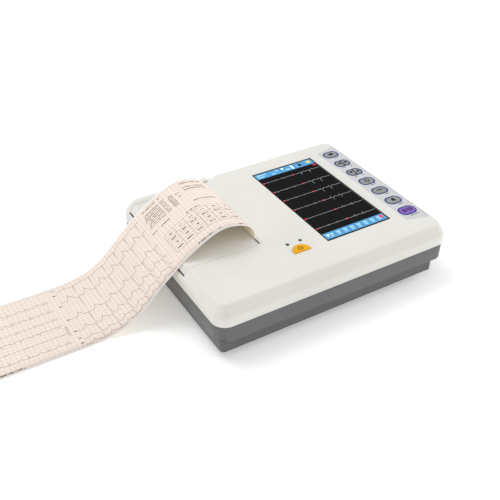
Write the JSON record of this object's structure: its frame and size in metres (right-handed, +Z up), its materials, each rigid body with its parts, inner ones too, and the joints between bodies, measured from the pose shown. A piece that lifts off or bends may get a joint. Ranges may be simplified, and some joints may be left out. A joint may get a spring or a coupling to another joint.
{
  "type": "ecg machine",
  "caption": "Flat desk-top ECG recorder: off-white case on a dark base, portrait screen, key column, power button, and chart paper arching out of a strip printer.",
  "frame": {"origin": "on the table, under the middle of the case's outline", "axes": "+X towards the key column at the right, +Y towards the back, +Z up"},
  "size_m": [0.5308, 0.2465, 0.0926],
  "materials": {
    "white_plastic": "fine matte moulded",
    "base_plastic": "fine matte moulded",
    "window_plastic": "gloss",
    "panel_film": "printed film",
    "key_rubber": "satin",
    "start_rubber": "satin",
    "amber_plastic": "satin",
    "lamp_plastic": "gloss",
    "board": "solder resist",
    "steel": "plain",
    "aluminium": "plain",
    "brass": "plain",
    "rubber": "matte",
    "ceramic": "plain",
    "gear_plastic": "plain",
    "tray_plastic": "plain",
    "paper": "printed grid",
    "card": "plain",
    "battery_film": "shrink film",
    "black_plastic": "plain"
  },
  "bodies": {
    "case": {"bottom_case": "base_plastic", "top_case": "white_plastic", "tear_bar": "white_plastic", "screen_window": "window_plastic", "screen_module": "steel", "screen_bracket": "steel", "key_panel": "panel_film", "keypad_board": "board", "power_board": "board", "lamp_lens_left": "lamp_plastic", "lamp_lens_right": "lamp_plastic", "latch_spring": "steel", "door_hinge_pins": "steel", "print_head": "ceramic", "head_heatsink": "aluminium", "head_springs": "steel", "printer_frame": "steel", "idler_shaft": "steel", "stepper_motor": "steel", "paper_tray": "tray_plastic", "roll_axle": "tray_plastic", "main_board": "board", "patient_board": "board", "board_shield": "steel", "power_supply": "board", "battery_pack": "battery_film", "battery_cover": "base_plastic", "battery_cover_screws": "steel", "case_screws": "steel", "rubber_feet": "rubber", "mains_inlet": "black_plastic", "earth_post": "brass", "patient_socket": "steel", "serial_socket": "steel", "usb_socket": "steel", "speaker": "black_plastic", "screen_cable": "tray_plastic", "head_cable": "tray_plastic"},
    "door": {"paper_door": "white_plastic", "platen_bushes": "brass", "chart_paper": "paper"},
    "platen": {"platen_roller": "rubber", "platen_shaft": "steel", "platen_gear": "gear_plastic"},
    "idler": {"idler_gear": "gear_plastic"},
    "motor_rotor": {"motor_shaft": "steel", "motor_pinion": "brass"},
    "roll": {"roll_core": "card", "paper_roll": "paper"},
    "latch": {"door_latch": "white_plastic"},
    "power_key": {"power_button": "amber_plastic"},
    "key_square": {"key_square": "key_rubber"},
    "key_back_1": {"key_back_1": "key_rubber"},
    "key_forward_1": {"key_forward_1": "key_rubber"},
    "key_back_2": {"key_back_2": "key_rubber"},
    "key_forward_2": {"key_forward_2": "key_rubber"},
    "key_ring": {"key_ring": "key_rubber"},
    "key_pulse": {"key_pulse": "key_rubber"},
    "key_bell": {"key_bell": "key_rubber"},
    "key_start": {"key_start": "start_rubber"}
  },
  "joints": [
    {"name": "door_hinge", "type": "hinge", "parent": "case", "child": "door", "pos_m": [-0.1375, 0.0265, 0.0593], "axis": [0, -1, 0], "range_deg": [0, 75], "deforming": ["chart_paper"]},
    {"name": "platen_spin", "type": "hinge", "parent": "door", "child": "platen", "pos_m": [-0.0621, 0.0265, 0.055], "axis": [0, 1, 0], "continuous": true},
    {"name": "idler_spin", "type": "hinge", "parent": "case", "child": "idler", "pos_m": [-0.0581, 0.0875, 0.03868], "axis": [0, 1, 0], "continuous": true},
    {"name": "motor_spin", "type": "hinge", "parent": "case", "child": "motor_rotor", "pos_m": [-0.0469, 0.0875, 0.02963], "axis": [0, 1, 0], "continuous": true},
    {"name": "roll_spin", "type": "hinge", "parent": "case", "child": "roll", "pos_m": [-0.104, 0.0265, 0.0385], "axis": [0, 1, 0], "continuous": true},
    {"name": "latch_slide", "type": "slide", "parent": "case", "child": "latch", "axis": [0, 1, 0], "range_m": [0, 0.003], "stiffness_N_per_m": 150, "springref_m": -0.001, "deforming": ["latch_spring"]},
    {"name": "power_press", "type": "slide", "parent": "case", "child": "power_key", "axis": [0, 0, -1], "range_m": [0, 0.0008], "stiffness_N_per_m": 400, "springref_m": -0.0004},
    {"name": "key_square_press", "type": "slide", "parent": "case", "child": "key_square", "axis": [0, 0, -1], "range_m": [0, 0.0008], "stiffness_N_per_m": 400, "springref_m": -0.0004},
    {"name": "key_back_1_press", "type": "slide", "parent": "case", "child": "key_back_1", "axis": [0, 0, -1], "range_m": [0, 0.0008], "stiffness_N_per_m": 400, "springref_m": -0.0004},
    {"name": "key_forward_1_press", "type": "slide", "parent": "case", "child": "key_forward_1", "axis": [0, 0, -1], "range_m": [0, 0.0008], "stiffness_N_per_m": 400, "springref_m": -0.0004},
    {"name": "key_back_2_press", "type": "slide", "parent": "case", "child": "key_back_2", "axis": [0, 0, -1], "range_m": [0, 0.0008], "stiffness_N_per_m": 400, "springref_m": -0.0004},
    {"name": "key_forward_2_press", "type": "slide", "parent": "case", "child": "key_forward_2", "axis": [0, 0, -1], "range_m": [0, 0.0008], "stiffness_N_per_m": 400, "springref_m": -0.0004},
    {"name": "key_ring_press", "type": "slide", "parent": "case", "child": "key_ring", "axis": [0, 0, -1], "range_m": [0, 0.0008], "stiffness_N_per_m": 400, "springref_m": -0.0004},
    {"name": "key_pulse_press", "type": "slide", "parent": "case", "child": "key_pulse", "axis": [0, 0, -1], "range_m": [0, 0.0008], "stiffness_N_per_m": 400, "springref_m": -0.0004},
    {"name": "key_bell_press", "type": "slide", "parent": "case", "child": "key_bell", "axis": [0, 0, -1], "range_m": [0, 0.0008], "stiffness_N_per_m": 400, "springref_m": -0.0004},
    {"name": "key_start_press", "type": "slide", "parent": "case", "child": "key_start", "axis": [0, 0, -1], "range_m": [0, 0.0008], "stiffness_N_per_m": 400, "springref_m": -0.0004}
  ],
  "couplings": [
    {"joint": "idler_spin", "follows": "platen_spin", "ratio": -0.75},
    {"joint": "motor_spin", "follows": "platen_spin", "ratio": 1.5},
    {"joint": "roll_spin", "follows": "platen_spin", "ratio": -0.27727}
  ]
}
